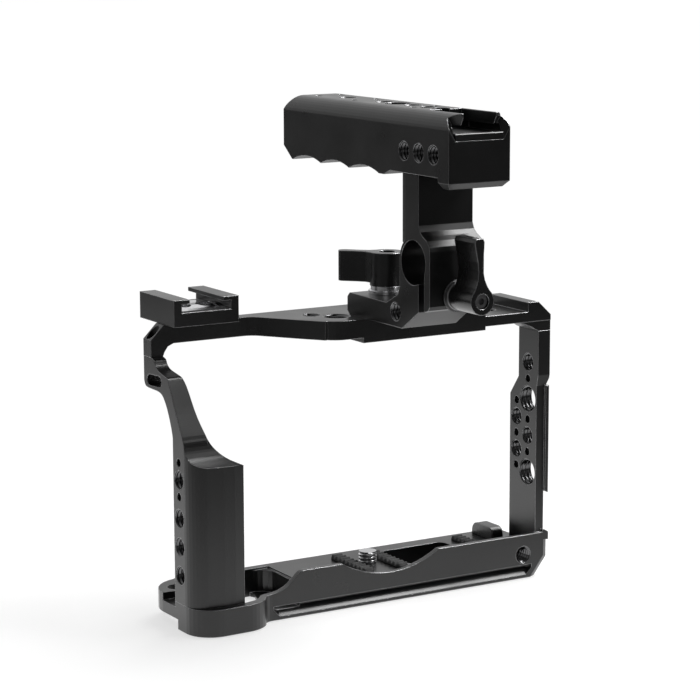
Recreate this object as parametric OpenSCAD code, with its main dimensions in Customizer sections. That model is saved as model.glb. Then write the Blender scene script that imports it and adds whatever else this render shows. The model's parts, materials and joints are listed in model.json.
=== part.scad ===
// Camera cage with top handle, 15 mm rod clamp and front grip.
// Millimetres. X across the camera, Y from the lens side to the rear, Z up from the ground.

/* [Cage] */
// outside width of the cage
cage_w = 146.6; // [136:0.2:160]
// top face of the top plate above the ground
plate_z = 100.9; // [92:0.1:112]
// camera floor above the ground
floor_z = 10; // [8:0.1:13]
// depth of the base from the lens side to the rear
base_d = 33.5; // [30:0.5:42]
// height of the joint between uprights and top plate
seam_z = 90.2; // [82:0.1:100]
// top edge of the front lip
lip_z = 16; // [13:0.1:18]
// thickness of the front lip
lip_t = 2; // [1.5:0.1:3]

/* [Threads] */
// radius of a quarter inch threaded hole
r_quarter = 3.175; // [3.175:0.001:3.175]
// radius of a three eighths threaded hole
r_three8 = 4.7625; // [4.7625:0.0001:4.7625]
// radius of a locating pin hole
r_pin = 1.45; // [1.2:0.05:1.6]
// pitch between neighbouring upright holes
hole_p = 6; // [5.5:0.1:7]

/* [Rod clamp riser] */
// radius of the clamped rod
rod_r = 7.5; // [7.5:0.1:9.5]
// width of the riser
riser_w = 21.3; // [18:0.1:24]
// height of the clamp bore above the plate
bore_up = 22.9; // [20:0.1:28]
// slot that lets the clamp jaw close
slot_w = 3.5; // [2.5:0.1:4.5]

/* [Levers] */
// length of the clamp lever from its axis
rod_lever_l = 20.6; // [16:0.1:24]
// length of the mounting lever from its axis
mount_lever_l = 17.3; // [13:0.1:20]
// lift of a lever off its teeth
lever_lift = 2.5; // [2:0.1:3]

/* [Handle] */
// length of the handle
handle_l = 106.8; // [90:0.2:130]
// width of the handle
handle_w = 23.7; // [20:0.1:28]
// underside of the handle above the plate
handle_up = 52.3; // [45:0.1:60]
// height of the handle body
handle_h = 20.8; // [18:0.1:24]

/* [Hidden] */
$fn = 48;
xl = -cage_w / 2;
xr = cage_w / 2;
web_x = xr - 5.1;
rail_x = xr - 1.6;
ring_z = 9.3;
foot_u = 3.4;
zb = plate_z - 6.5;
cx = 6.85;
rx0 = cx - riser_w / 2;
bore_y = -29.5;
bore_z = plate_z + bore_up;
stud_y = 4;
block_z = plate_z + 7.7;
lev_z = bore_z - rod_r - 3.1;
lev_y = -39.8;
hz0 = plate_z + handle_up;
hz1 = hz0 + handle_h;
hy0 = -52.3;
shoe_x = xl + 5.3;
shoe_y = 18;
shoe_w = 24.5;
shoe_d = 25.8;
shoe_h = 9.1;
shoe_xc = shoe_x + shoe_w / 2;
shoe_screw_x = 3.8;
shoe_screw_y = 27.95;
arm_y = 25.1;
arm_d = 5.7;
groove_x = xl + 34.9;
groove_l = xr - 9.8 - groove_x;
slant_x = 5.2;
slant_z = 6.6;
grip_screws = [[xl + 13.3, 3.2], [xl + 6.8, 5.6]];
twist_x = xr - 9.6;
twist_y = base_d - 8.5;
scr_x = 5.6;
scr_y = 15;
pz = 51;
e = 0.01;

// extrude a YZ outline along X
module along_x(x0, w) { translate([x0, 0, 0]) rotate([90, 0, 90]) linear_extrude(w) children(); }
// extrude an XZ outline along Y
module along_y(y0, d) { translate([0, y0 + d, 0]) rotate([90, 0, 0]) linear_extrude(d) children(); }
module cyl_x(x0, w, y, z, r) { translate([x0, y, z]) rotate([0, 90, 0]) cylinder(r = r, h = w); }
module cyl_y(y0, d, x, z, r) { translate([x, y0, z]) rotate([-90, 0, 0]) cylinder(r = r, h = d); }
module cyl_z(z0, h, x, y, r) { translate([x, y, z0]) cylinder(r = r, h = h); }
// points of an arc, angles in degrees
function arc(x, y, r, a0, a1, n = 8) =
  [for (i = [0 : n]) let (a = a0 + (a1 - a0) * i / n) [x + r * cos(a), y + r * sin(a)]];

// a curve through points, with n steps between neighbours
function curve(p, n = 3) = let (m = len(p) - 1) concat(
  [for (i = [0 : m - 1]) let (a = p[max(i - 1, 0)], b = p[i], c = p[i + 1], d = p[min(i + 2, m)])
    for (k = [0 : n - 1]) let (t = k / n)
      b + 0.5 * t * ((c - a) + t * ((2 * a - 5 * b + 4 * c - d) + t * (3 * b - a - 3 * c + d)))],
  [p[m]]);

// plan outline of the foot and the ring round the battery door
foot_pts = concat(
  arc(xl + 31.8, -4.2, 4.2, 90, 165, 5),
  arc(xl + 18.7, 4.9, 12.1, -42, -90, 6),
  arc(xl + 9.3, 1.8, 9.3, -90, -180, 8),
  arc(xl + 14, base_d - 14, 14, 180, 90, 8),
  [[xl + 49.3, base_d], [xl + 49.3, 0]]);

// opening for the battery door, and the bay beside it that reaches x1
module bay2d(bay) {
  translate([xl, 0]) polygon(concat([[7.3, 12], [8.7, 10.6], [18.1, 10.6], [19.3, 9.4],
      [19.3, -3.9], [23.3, -3], [26.1, -1.2], [27.9, 1.2]],
    bay ? concat([[30.3, 2], [43.3, 2], [45.8, 4]], arc(40.8, base_d - 9, 6, 0, 90, 5)) :
      [[36.3, 18], [40.4, 28.3], [39.7, base_d - 3]],
    arc(15.3, base_d - 11, 8, 90, 180, 6)));
}

module lip_shape() {
  difference() {
    along_y(0, lip_t) polygon(concat([[xl + 29.9, 4]],
      curve([[xl + 29.9, 9.3], [xl + 30.9, 9.35], [xl + 33.8, 9.7], [xl + 35.8, 10.3],
       [xl + 37.7, 11.2], [xl + 39.1, 12.2], [xl + 41.4, 14.4], [xl + 42.7, 15.6],
       [xl + 43.9, lip_z]], 2),
      [[web_x + e, lip_z], [web_x + e, 4]]));
    cyl_y(-1, lip_t + 2, 6.2, floor_z + 38.2, 37.8);
  }
}

module right_web() {
  along_x(web_x, rail_x - web_x) polygon([[0, 3], [17.5, 3], [17.5, 65], [12.3, 72], [12.3, seam_z],
    [0.2, seam_z], [0.2, 74], [1.1, 70], [1.1, lip_z], [0, lip_z]]);
  intersection() {
    along_y(0, 12.3) polygon([[rail_x - e, 68.5], [xr - 1.1, 69.8], [xr, 72.6], [xr, seam_z],
      [rail_x - e, seam_z]]);
    along_x(rail_x - e, 3) polygon([[0.2, seam_z], [12.3, seam_z], [12.3, 72], [17.5, 65],
      [1.1, 65], [1.1, 70], [0.2, 74]]);
  }
  // outer rail with its lower end cut at a slant, and the ledge below it
  intersection() {
    translate([0, 0, 28]) linear_extrude(42) polygon([[rail_x - e, 0.2], [xr - 0.3, 0.2], [xr, 0.5],
      [xr, 17], [xr - 0.5, 17.5], [rail_x - e, 17.5]]);
    along_y(0, 18) polygon([[rail_x - 1, 31.7], [xr + 1, 29.9], [xr + 1, 71], [rail_x - 1, 71]]);
  }
  along_y(0, 17.5) polygon([[rail_x - 1, 12], [xr, 12], [xr, 15.9], [rail_x, 16.9], [rail_x - 1, 17]]);
}

module right_holes() {
  for (h = [[6.5, pz + 4.5 * hole_p], [6.5, pz], [13.4, pz + hole_p], [13.4, pz - hole_p]])
    cyl_x(web_x - 1, 8, h[0], h[1], r_quarter);
  for (h = [[6.5, pz + 2.25 * hole_p], [6.5, pz - 2.25 * hole_p]])
    cyl_x(web_x - 1, 8, h[0], h[1], r_three8);
  for (h = [[6.5, pz + 3.5 * hole_p], [6.5, pz + hole_p], [6.5, pz - hole_p],
            [13.4, pz + 2 * hole_p], [13.4, pz], [13.4, pz - 2 * hole_p]])
    cyl_x(web_x - 1, 8, h[0], h[1], r_pin);
}

// cut that bevels a front edge: x outwards from the side face
module edge_bevel() { polygon([[-2.1, 0], [-2.1, -1], [1, -1], [1, 2.214]]); }

module base_frame() color([0.13, 0.13, 0.14]) difference() {
  union() {
    linear_extrude(ring_z) polygon(foot_pts);
    intersection() {
      linear_extrude(floor_z) polygon(foot_pts);
      translate([xl - 1, base_d - 14, 0]) cube([12, 20, 30]);
    }
    translate([xl + 11.3, base_d - 3, 1.6]) cube([40, 3, floor_z - 1.6]);
    translate([xl + 47.3, 0, 0]) cube([cage_w - 47.3, base_d, floor_z]);
    translate([web_x, 0, floor_z - e]) cube([xr - web_x, 17.5, 3.7 + e]);
    lip_shape();
    right_web();
  }
  // battery bay with its thin floor, and the door opening through it
  translate([0, 0, 1.5]) linear_extrude(20) bay2d(true);
  translate([0, 0, -1]) linear_extrude(20) bay2d(false);
  // raised underside of the left side
  translate([xl - 1, 8.1, -1]) cube([30, base_d - 11, foot_u + 1]);
  // seat of the grip
  translate([xl - 1, 9.9, 7.4]) cube([9, 9.6, 5]);
  cyl_z(7, 5, xl + 7.5, base_d - 10, 3.4);
  // dovetail grooves under the front and rear edges
  along_x(groove_x, groove_l) polygon([[-1, 1.1], [0, 1.1], [2.5, 3.6], [2.5, 4.8], [-1, 4.8]]);
  for (x = [0, groove_l]) translate([groove_x + x, 0, 0]) rotate_extrude()
    polygon([[0, 1.1], [2.5, 3.6], [2.5, 4.8], [0, 4.8]]);
  along_x(-22, 77) polygon([[base_d + 1, 1.2], [base_d, 1.2], [base_d - 2.4, 3.6],
    [base_d - 2.4, 4.4], [base_d + 1, 4.4]]);
  // tool pocket in the floor
  translate([0, 0, 3]) linear_extrude(9) polygon(concat(
    arc(21, 9, 3, 180, 270, 4), arc(42, 9, 3, 270, 360, 4),
    arc(42, 24, 3, 0, 90, 4), arc(21, 24, 3, 90, 180, 4)));
  // camera screw passage with its counterbore
  cyl_z(-1, 12, scr_x, scr_y, 3.16);
  cyl_z(-1, 5.6, scr_x, scr_y, 7);
  // threaded sockets in the underside
  cyl_z(-1, 8, -8, 16.5, r_quarter);
  cyl_z(-1, 8, -19, 16.5, r_three8);
  cyl_z(-1, 8, 52, 16.5, r_quarter);
  // front threaded hole and seat of the rotation stop screw
  cyl_y(-1, 8, 62.3, 8.7, r_quarter);
  cyl_z(-1, 12, twist_x, twist_y, 1.6);
  cyl_z(-1, 3.5, twist_x, twist_y, 3.1);
  // screws that hold the grip
  for (p = grip_screws) {
    cyl_z(-1, 12, p[0], p[1], 1.6);
    cyl_z(-1, 3.5, p[0], p[1], 3);
  }
  right_holes();
  // slanted lower right corner and its front bevel
  along_y(-1, base_d + 2) polygon([[xr - slant_x, 0], [xr - slant_x - 1, -1.3], [xr + 1, -1.3],
    [xr + 1, slant_z * (1 + 1 / slant_x)]]);
  translate([xr, 0, -1]) linear_extrude(14.1) edge_bevel();
  translate([xr - slant_x, 0, 0]) rotate([0, atan(slant_x / slant_z), 0])
    translate([0, 0, -5]) linear_extrude(20) edge_bevel();
  // seam screw
  cyl_z(seam_z - 8, 9, xr - 2.6, 6.3, 1.2);
}

module grip_upright() color([0.12, 0.12, 0.13]) difference() {
  union() {
    // shell of the grip
    intersection() {
      translate([0, 0, ring_z]) linear_extrude(80) polygon(concat(
        arc(xl + 6.8, 2.4, 6.8, 180, 268, 8), [[xl + 11.3, -4.9], [xl + 15.3, -4.9]],
        [[xl + 18.9, -4.4], [xl + 18.9, 9.9], [xl, 9.9]]));
      along_x(xl - 1, 30) polygon(concat([[-8, 0]], curve([[-8, 56.6], [-5, 57], [-2.4, 58],
        [-0.2, 59.4], [1.2, 61.4], [2.2, 64], [3.4, 67.2], [6, 71.6], [10, 79], [12, 83]]),
        [[20, 83], [20, 0]]));
      along_y(-8, 30) translate([xl, 0]) polygon(concat([[-1, 0], [19.3, 0]],
        curve([[19.3, 56.6], [16.3, 57.9], [13.3, 60], [10.7, 62.8], [9, 66], [7.9, 70],
         [7.1, 75], [6.3, 82], [6.1, 90]]), [[-1, 90]]));
    }
    // leaning arm
    intersection() {
      along_x(xl, 19) polygon(concat([[9.9, 40]], curve([[9.7, 57], [9.6, 63.6], [10.9, 68.7],
        [13.6, 74.4], [16.6, 78.2], [19.5, 79.4], [24.1, 79.6], [28.6, 79.8], [30.1, 80.6],
        [30.7, 82]]), [[30.7, seam_z]], curve([[24.9, seam_z], [23, 89.6], [22.2, 88.2],
        [20.9, 87], [19.3, 86.3], [15.6, 85.5], [13.6, 85], [12.6, 84], [10.1, 79.4],
        [7.2, 73.8], [4.4, 69.2], [2.7, 65.8], [1.9, 61.6], [1.8, 40]])));
      along_y(-8, 60) translate([xl, 0]) polygon(concat([[-1, 0], [9, 0]], curve([[9, 66],
        [7.9, 70], [7.1, 75], [6.3, 82], [5.3, 85.5], [4.6, 88], [4.6, 95]]), [[-1, 95]]));
    }
  }
  // strap slot
  along_x(xl - 1, 12) polygon(concat(arc(26.6, 82.5, 1.9, -90, 90, 6),
    arc(19.6, 82.9, 1.9, 90, 270, 6)));
  // threaded and locating holes in the side
  for (z = [52, 38.8, 29, 19.2]) cyl_x(xl - 1, 13, 5.8, z, r_quarter);
  for (z = [57.8, 46.2]) cyl_x(xl - 1, 5, 5.8, z, r_pin);
  // hollow back of the shell
  translate([xl + 10.8, 1.4, ring_z + 5]) cube([9.2, 10, 38]);
  // screw holes
  for (p = grip_screws) cyl_z(ring_z - 1, 9, p[0], p[1], 1.2);
  cyl_z(seam_z - 8, 9, xl + 2.3, 27.9, 1.1);
}

module plate_plan() {
  polygon(concat([[xl + 8, arm_y]], arc(-38, arm_y - 5.8, 5.8, 90, 34, 5),
    [[-24.6, 10.4], [-18.6, 2.6]], arc(-11.6, 8, 8, 222, 270, 5),
    [[xr - 28.1, 0], [xr - 28.1, arm_y + 1.9], [xr - 37.3, arm_y + arm_d],
     [xl + 8, arm_y + arm_d]]));
}

module top_plate() color([0.13, 0.13, 0.14]) difference() {
  union() {
    translate([0, 0, zb]) linear_extrude(6.5) plate_plan();
    translate([-5, 0, zb - 1.8]) cube([xr - 23.1, arm_y + 1.9, 2]);
    translate([xr - 28.3, 0, plate_z - 7]) cube([24, 24, 3.6]);
    along_y(0, 24) polygon([[xr - 9.9, plate_z - 7], [xr - 9.9, plate_z], [xr - 5.4, plate_z],
      [xr, plate_z - 5], [xr, plate_z - 7]]);
    along_y(0.2, 12.1) polygon([[xr - 14.9, plate_z - 7], [xr - 11.3, plate_z - 7.7],
      [xr - 8.3, plate_z - 8.9], [xr - 6.3, plate_z - 10.2], [web_x, seam_z], [xr, seam_z],
      [xr, plate_z - 6.5], [xr - 14.9, plate_z - 6.5]]);
    along_y(arm_y, arm_d) polygon([[xl, seam_z], [xl + 4.5, seam_z], [xl + 5.1, 91.7],
      [xl + 6.4, 93.5], [xl + 8.5, zb], [xl + 13, zb], [xl + 13, plate_z],
      [xl + 4.9, plate_z], [xl, plate_z - 4.9]]);
  }
  // counterbored seam screws
  cyl_z(seam_z - 1, 14, xl + 2.3, 27.9, 1.3);
  cyl_z(plate_z - 6.3, 14, xl + 2.3, 27.9, 2.15);
  cyl_z(seam_z - 1, 14, xr - 2.6, 6.3, 1.4);
  cyl_z(plate_z - 6.5, 14, xr - 2.6, 6.3, 2.1);
  // threaded holes for accessories
  for (p = [[-15.6, 17.2], [27, 9], [39, 9], [39, 20]]) cyl_z(zb - 4, 14, p[0], p[1], r_quarter);
  cyl_z(zb - 4, 14, -9.4, 10.6, r_three8);
  cyl_z(zb - 4, 14, 27, 20, r_three8);
  // seat of the handle mount: stud thread and two locating holes
  cyl_z(zb - 4, 14, cx, stud_y, 3.24);
  for (s = [-1, 1]) cyl_z(plate_z - 2.8, 5, cx + 7.3 * s, stud_y, r_pin + 0.05);
  cyl_z(plate_z - 8, 8, 54, 12, r_quarter);
  // shoe screws
  for (s = [-1, 1]) cyl_z(plate_z - 5, 8, shoe_xc + shoe_screw_x * s, shoe_screw_y, 1.25);
}

module cold_shoe() color([0.12, 0.12, 0.13]) {
  difference() {
    translate([shoe_x, shoe_y, plate_z]) cube([shoe_w, shoe_d, shoe_h]);
    translate([shoe_xc - 9.3, shoe_y - 1, plate_z + 4.7]) cube([18.6, shoe_d + 2, 3]);
    translate([shoe_xc - 6.3, shoe_y - 1, plate_z + 4.7]) cube([12.6, shoe_d + 2, 8]);
    for (s = [-1, 1]) {
      cyl_z(plate_z - 1, 9, shoe_xc + shoe_screw_x * s, shoe_screw_y, 1.5);
      cyl_z(plate_z + 2.2, 9, shoe_xc + shoe_screw_x * s, shoe_screw_y, 2.5);
    }
  }
}

module shoe_spring() color([0.8, 0.8, 0.8]) {
  difference() {
    along_x(shoe_xc - 8.9, 17.8) polygon([[shoe_y + 2, plate_z + 4.7], [shoe_y + 22, plate_z + 4.7],
      [shoe_y + 22, plate_z + 5], [shoe_y + 16, plate_z + 5], [shoe_y + 13, plate_z + 5.7],
      [shoe_y + 9, plate_z + 5.7], [shoe_y + 6, plate_z + 5], [shoe_y + 2, plate_z + 5]]);
    for (s = [-1, 1]) cyl_z(plate_z, 9, shoe_xc + shoe_screw_x * s, shoe_screw_y, 2.7);
    for (s = [-1, 1]) translate([shoe_xc + 7.3 * s - 0.5, shoe_y + 5, plate_z]) cube([1, 12, 9]);
  }
}

// socket head screw along Z, head up: z is the seat under the head
module cap_screw(x, y, z, rs, rh, hh, l, hex) {
  difference() {
    union() {
      cyl_z(z - l, l, x, y, rs);
      cyl_z(z, hh, x, y, rh);
    }
    translate([x, y, z + hh * 0.4]) rotate([0, 0, 15]) cylinder(r = hex, h = hh, $fn = 6);
  }
}

module shoe_screw_front() color([0.75, 0.75, 0.76])
  cap_screw(shoe_xc - shoe_screw_x, shoe_screw_y, plate_z + 2.2, 1.25, 2.4, 2.2, 6.5, 1.2);
module shoe_screw_rear() color([0.75, 0.75, 0.76])
  cap_screw(shoe_xc + shoe_screw_x, shoe_screw_y, plate_z + 2.2, 1.25, 2.4, 2.2, 6.5, 1.2);
module seam_screw_left() color([0.75, 0.75, 0.76])
  cap_screw(xl + 2.3, 27.9, plate_z - 6.3, 1.1, 2, 1.6, 10, 0.9);
module seam_screw_right() color([0.75, 0.75, 0.76])
  cap_screw(xr - 2.6, 6.3, plate_z - 6.5, 1.2, 2, 1.8, 10, 1);

// screw with its head down
module up_screw(x, y, z, rs, rh, hh, l, hex) {
  translate([x, y, z]) mirror([0, 0, 1]) cap_screw(0, 0, 0, rs, rh, hh, l, hex);
}

module grip_screw_front() color([0.7, 0.7, 0.71])
  up_screw(grip_screws[0][0], grip_screws[0][1], 2.5, 1.2, 2.8, 2, 13, 1.3);
module grip_screw_rear() color([0.7, 0.7, 0.71])
  up_screw(grip_screws[1][0], grip_screws[1][1], 2.5, 1.2, 2.8, 2, 13, 1.3);

// ribbed rubber pad
module pad(x, y0, y1) {
  n = round((y1 - y0) / 3);
  p = (y1 - y0) / n;
  translate([x, y0, floor_z]) cube([4.7, y1 - y0, 1.2]);
  for (i = [0 : n - 1]) along_x(x, 4.7)
    polygon([[y0 + p * i + 0.3, floor_z + 1.1], [y0 + p * (i + 1) - 0.3, floor_z + 1.1],
      [y0 + p * (i + 1) - 0.9, floor_z + 1.8], [y0 + p * i + 0.9, floor_z + 1.8]]);
}
module pad_left() color([0.08, 0.08, 0.08]) pad(-2.7, 3.6, 27.6);
module pad_middle() color([0.08, 0.08, 0.08]) pad(11.1, 3.2, 27.2);
module pad_right() color([0.08, 0.08, 0.08]) pad(48.8, 12.6, 27.6);

module camera_screw() color([0.82, 0.82, 0.83]) difference() {
  union() {
    cyl_z(4.65, 10.2, scr_x, scr_y, 3.1);
    cyl_z(1.2, 3.4, scr_x, scr_y, 6.9);
    cyl_z(4.5, 0.2, scr_x, scr_y, 3.1);
  }
  translate([scr_x - 8, scr_y - 0.7, 0]) cube([16, 1.4, 2.6]);
  for (z = [11 : 1.27 : 14]) translate([scr_x, scr_y, z]) rotate_extrude()
    polygon([[2.6, 0.45], [3.3, -0.05], [3.3, 0.95]]);
}

module twist_block() color([0.13, 0.13, 0.14]) difference() {
  along_x(twist_x - 2.5, 5) translate([twist_y, floor_z]) polygon(concat([[-6.8, 0], [7, 0], [7, 1.2]],
    arc(3.6, 1.2, 3.4, 0, 90, 4), [[-5.4, 4.6], [-6.8, 3.2]]));
  for (y = [-4, 3.6]) cyl_x(twist_x - 3.3, 1.6, twist_y + y, floor_z, 1.3);
  cyl_z(floor_z - 1, 4.6, twist_x, twist_y, 1.2);
}
module twist_screw() color([0.7, 0.7, 0.71])
  up_screw(twist_x, twist_y, 2.5, 1.2, 2.9, 2, 10.8, 1.3);

module riser_clamp() color([0.12, 0.12, 0.13]) difference() {
  union() {
    along_x(rx0, riser_w) polygon([[11.2, plate_z], [12.7, plate_z + 1.5], [12.7, block_z - 1.5],
      [11.2, block_z], [-12.8, block_z - 0.2], [-20.2, plate_z + 11.2], [-21.1, plate_z + 13.6],
      [-21.1, bore_z], [-32.7, bore_z], [-32.7, plate_z + 6.6], [-22.7, plate_z]]);
    cyl_x(rx0, riser_w, -30.3, bore_z, 9.2);
    along_x(rx0, riser_w) polygon([[-39.5, bore_z + 4.5], [-39.1, bore_z + 6], [-37.6, bore_z + 7.9],
      [-35.2, bore_z + 9.1], [-33.6, bore_z + 10.4], [-32.65, bore_z + 12.5], [-32.65, hz0],
      [-28, hz0], [-28, bore_z], [-36.2, bore_z], [-36.2, plate_z + 7.6], [-37.4, plate_z + 7.4],
      [-38.8, plate_z + 8], [-39.5, plate_z + 9.3]]);
    translate([0, 0, bore_z + 6]) linear_extrude(hz0 - bore_z - 6) polygon(concat(
      [[rx0, -28.1]], arc(rx0 + 6.4, -24.8, 6.4, 180, 90, 6),
      arc(rx0 + riser_w - 6.4, -24.8, 6.4, 90, 0, 6), [[rx0 + riser_w, -28.1]]));
  }
  cyl_x(rx0 - 1, riser_w + 2, bore_y, bore_z, rod_r);
  translate([rx0 - 1, -32.7 - slot_w, plate_z + 5]) cube([riser_w + 2, slot_w, bore_z - plate_z - 5]);
  // clamp bolt, mounting stud, locating pins, side thread
  cyl_y(-41, 22, cx, lev_z, 2.55);
  cyl_z(plate_z - 1, 12, cx, stud_y, 3.24);
  for (s = [-1, 1]) cyl_z(plate_z - 1, 4, cx + 7.3 * s, stud_y, r_pin);
  cyl_x(rx0 - 1, 9, -18.6, plate_z + 5.1, r_quarter);
  // screws up into the handle
  for (y = [-29.5, -22]) cyl_z(hz0 - 9, 10, cx, y, 1.3);
}
module pin_left() color([0.75, 0.75, 0.76]) cyl_z(plate_z - 2.6, 5.4, cx - 7.3, stud_y, r_pin);
module pin_right() color([0.75, 0.75, 0.76]) cyl_z(plate_z - 2.6, 5.4, cx + 7.3, stud_y, r_pin);

module mount_collar() color([0.8, 0.8, 0.8]) difference() {
  union() {
    cyl_z(block_z, 1.1, cx, stud_y, 6.4);
    cyl_z(block_z + 1.1, 1.6, cx, stud_y, 5.6);
  }
  cyl_z(block_z - 1, 6, cx, stud_y, 3.2);
}
module mount_stud() color([0.75, 0.75, 0.76]) difference() {
  cyl_z(zb - 1.4, block_z - zb + 10.4, cx, stud_y, 3.175);
  cyl_z(block_z + 4, 8, cx, stud_y, 1.3);
}

// thumb lever about Z: hub radius r, wing to length l, from z0 to z1
module wing2d(r, l, w0, w1) {
  polygon(concat([[r * 0.55, r * 0.78]], [[r + 1, w0], [l * 0.6, w0 * 0.86], [l - w1, w1]],
    arc(l - w1, 0, w1, 90, -90, 8), [[l * 0.6, -w0 * 0.86], [r + 1, -w0], [r * 0.55, -r * 0.78]]));
}
module mount_lever() color([0.12, 0.12, 0.13]) {
  z0 = block_z + 2.7;
  difference() {
    union() {
      cyl_z(z0, 11.6, cx, stud_y, 5.9);
      translate([cx, stud_y, z0 + 1.1]) rotate([0, 0, 133]) linear_extrude(10.5)
        wing2d(5.9, mount_lever_l, 2.2, 2.1);
    }
    cyl_z(z0 - 1, 7.4, cx, stud_y, 3.225);
    cyl_z(z0 + 5, 10, cx, stud_y, 1.9);
    cyl_z(z0 + 8.2, 5, cx, stud_y, 2.9);
  }
}
module mount_lever_screw() color([0.15, 0.15, 0.16])
  cap_screw(cx, stud_y, block_z + 10.9, 1.25, 2.7, 2.2, 6, 1.4);

module rod_stud() color([0.75, 0.75, 0.76]) difference() {
  cyl_y(lev_y - 9, 27, cx, lev_z, 2.5);
  cyl_y(lev_y - 10, 6, cx, lev_z, 1.1);
}
module rod_lever() color([0.12, 0.12, 0.13]) difference() {
  union() {
    cyl_y(lev_y - 14.7, 14.7, cx, lev_z, 4.5);
    translate([cx, lev_y - 2.7, lev_z]) rotate([90, 0, 0]) rotate([0, 0, 93.4]) linear_extrude(12)
      polygon([[2.5, 3.6], [4.6, 2.3], [7, 1.35], [10, 0.9], [13, 1], [17, 1.6], [19.4, 1.85],
        [rod_lever_l, 1.3], [rod_lever_l, -1.3], [19.4, -1.85], [17, -1.6], [13, -1],
        [10, -0.9], [7, -1.35], [4.6, -2.3], [2.5, -3.6]]);
  }
  cyl_y(lev_y - 9.3, 12, cx, lev_z, 2.55);
  cyl_y(lev_y - 16, 10, cx, lev_z, 1.5);
  cyl_y(lev_y - 16, 4.2, cx, lev_z, 2.5);
}
module rod_lever_screw() color([0.2, 0.2, 0.21]) translate([cx, lev_y - 11.8, lev_z])
  rotate([90, 0, 0]) cap_screw(0, 0, 0, 1.05, 2.3, 2.3, 6, 1.2);

module handle_bar() color([0.12, 0.12, 0.13]) difference() {
  intersection() {
    along_x(cx - 20, 40) polygon([[hy0, hz0 - 1.5], [hy0 + 2, hz0 - 3.5], [hy0 + 5.4, hz0 - 3.5],
      [hy0 + 6.4, hz0 - 0.6], [hy0 + 6.4, hz0], [-16.5, hz0], [-13, hz0 - 1.6], [-4, hz0 - 1.6],
      [hy0 + handle_l - 6, hz0 - 1.6], [hy0 + handle_l, hz0 + 3], [hy0 + handle_l, hz1 - 5],
      [hy0 + handle_l - 5, hz1], [hy0, hz1]]);
    along_y(hy0 - 1, handle_l + 2) polygon(concat(
      [[cx - handle_w / 2 + 2, hz0 - 4], [cx - handle_w / 2, hz0 - 1.5]],
      arc(cx - handle_w / 2 + 5.2, hz1 - 5.2, 5.2, 180, 90, 8),
      arc(cx + handle_w / 2 - 5.2, hz1 - 5.2, 5.2, 90, 0, 8),
      [[cx + handle_w / 2, hz0 - 1.5], [cx + handle_w / 2 - 2, hz0 - 4]]));
  }
  // cold shoe in the front end
  translate([cx - 9.3, hy0 - 1, hz1 - 6.4]) cube([18.6, 21, 2.6]);
  translate([cx - 6.3, hy0 - 1, hz1 - 6.4]) cube([12.6, 21, 8]);
  // slanted lead-in round the mouth of the shoe
  along_x(cx - 9.3, 18.6) polygon([[hy0 - 1, hz1 - 8.8], [hy0, hz1 - 8.8], [hy0 + 2.4, hz1 - 6.4],
    [hy0 + 2.4, hz1 - 6], [hy0 - 1, hz1 - 6]]);
  for (s = [0, 1]) translate([cx, hy0, hz1 - 8.8]) mirror([s, 0, 0]) translate([-9.3, 0, 0])
    rotate([0, -32.7, 0]) rotate([0, 0, 45]) translate([-20, -20, 0]) cube([24.6, 20, 13]);
  // side threads, top threads, end thread
  for (y = [-43.2, -34.4, -25.6]) cyl_x(cx - 13, 7, y, hz0 + 7.2, r_quarter);
  for (y = [-43.2, -34.4, -25.6]) cyl_x(cx + 6, 7, y, hz0 + 7.2, r_quarter);
  for (y = [-12, 6, 30]) cyl_z(hz1 - 9, 12, cx, y, r_quarter);
  cyl_z(hz1 - 9, 12, cx, -3, r_three8);
  for (y = [-20, 18, 42]) for (s = [-1, 1]) cyl_z(hz1 - 5, 8, cx + 4.6 * s, y, r_pin);
  cyl_y(hy0 + handle_l - 9, 12, cx, hz0 + 9.5, r_quarter);
  // finger hollows along the underside
  for (y = [0, 19, 38]) cyl_x(cx - 20, 40, y, hz0 - 25.6, 26);
  // screws that hold the riser
  for (y = [-29.5, -22]) {
    cyl_z(hz0 - 1, 30, cx, y, 1.6);
    cyl_z(hz0 + 6, 30, cx, y, 3.1);
  }
}
module handle_screw_front() color([0.7, 0.7, 0.71])
  cap_screw(cx, -29.5, hz0 + 6, 1.3, 2.9, 2.4, 14, 1.4);
module handle_screw_rear() color([0.7, 0.7, 0.71])
  cap_screw(cx, -22, hz0 + 6, 1.3, 2.9, 2.4, 14, 1.4);

base_frame();
grip_upright();
top_plate();
cold_shoe();
shoe_spring();
shoe_screw_front();
shoe_screw_rear();
seam_screw_left();
seam_screw_right();
grip_screw_front();
grip_screw_rear();
pad_left();
pad_middle();
pad_right();
camera_screw();
twist_block();
twist_screw();
riser_clamp();
pin_left();
pin_right();
mount_collar();
mount_stud();
mount_lever();
mount_lever_screw();
rod_stud();
rod_lever();
rod_lever_screw();
handle_bar();
handle_screw_front();
handle_screw_rear();
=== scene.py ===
# %% [markdown]
# # A camera cage, dressed from its CAD frame
# The object is a black anodised frame that is bolted round a camera. A riser on its top plate
# carries a round rod clamp and a carrying handle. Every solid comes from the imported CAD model, in
# metres. The solids could be modelled again here, but then their sizes and joints could drift
# apart, so this lesson only gives them their finishes and adds the small forms that are cut or
# moulded last: screw threads, ribbed pads, a stop block with round ends, and two thin trims.

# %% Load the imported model
import json
import bmesh
import bpy
import numpy as np
from mathutils import Matrix, Vector


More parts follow.
